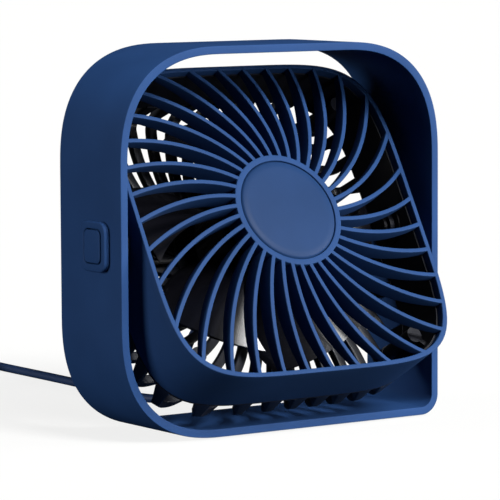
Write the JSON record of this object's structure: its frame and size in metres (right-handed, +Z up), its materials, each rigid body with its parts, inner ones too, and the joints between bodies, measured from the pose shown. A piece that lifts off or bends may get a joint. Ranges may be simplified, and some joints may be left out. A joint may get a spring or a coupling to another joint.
{
  "type": "desk fan",
  "caption": "Small square desk fan: a rounded square head with spiral ribs tilts in a band-shaped stand, with a side button and a USB lead.",
  "frame": {"origin": "on the table under the middle of the stand", "axes": "+Z up, the fan faces -Y and its left side with the button is at -X"},
  "size_m": [0.1756, 0.2988, 0.1455],
  "materials": {
    "navy_plastic": "fine satin moulded plastic",
    "black_plastic": "satin black moulded plastic",
    "blade_plastic": "glossy black moulded plastic",
    "cord_jacket": "matt blue PVC jacket",
    "rubber": "matt black rubber",
    "steel": "plated steel",
    "blackened_steel": "black oxide steel",
    "copper": "enamelled copper wire",
    "ferrite": "dark bonded ferrite or switch body",
    "circuit_board": "green circuit board",
    "nylon": "natural nylon"
  },
  "bodies": {
    "stand": {"stand_frame": "navy_plastic", "foot_pad": "rubber", "button_bezel": "navy_plastic", "pivot_cover": "navy_plastic", "switch_pod": "black_plastic", "pivot_pin": "black_plastic", "pivot_screw": "blackened_steel", "switch_board": "circuit_board", "switch_body": "ferrite", "switch_plunger": "nylon", "cord_drop": "cord_jacket", "cord_run": "cord_jacket", "cord_coil": "cord_jacket", "cord_tie": "rubber", "cord_tail": "cord_jacket", "plug_relief": "rubber", "usb_plug_body": "rubber", "usb_plug_shell": "steel", "usb_plug_tongue": "nylon"},
    "head": {"head_shell": "navy_plastic", "front_grille": "navy_plastic", "centre_cap": "navy_plastic", "rear_grille": "black_plastic", "rear_hub_cover": "black_plastic", "motor_base": "black_plastic", "bearing_front": "steel", "bearing_rear": "steel", "stator_core": "steel", "stator_coil_1": "copper", "stator_coil_2": "copper", "stator_coil_3": "copper", "stator_coil_4": "copper", "motor_board": "circuit_board", "friction_washer_left": "black_plastic", "friction_washer_right": "black_plastic", "boss_clip_left": "blackened_steel", "boss_clip_right": "blackened_steel", "housing_screw_1": "steel", "housing_screw_2": "steel", "housing_screw_3": "steel", "housing_screw_4": "steel", "strain_relief": "rubber", "inner_lead": "rubber"},
    "rotor": {"impeller": "blade_plastic", "rotor_cup": "steel", "magnet_ring": "ferrite", "motor_shaft": "steel", "shaft_clip": "steel"},
    "button": {"speed_button": "navy_plastic"}
  },
  "joints": [
    {"name": "head_tilt", "type": "hinge", "parent": "stand", "child": "head", "pos_m": [0, -0.0046, 0.073], "axis": [1, 0, 0], "range_deg": [-60, 60], "deforming": ["cord_drop"]},
    {"name": "rotor_spin", "type": "hinge", "parent": "head", "child": "rotor", "pos_m": [0, -0.0046, 0.073], "axis": [0, -0.866, 0.5], "continuous": true},
    {"name": "button_press", "type": "slide", "parent": "stand", "child": "button", "axis": [1, 0, 0], "range_m": [0, 0.0006], "stiffness_N_per_m": 800}
  ]
}
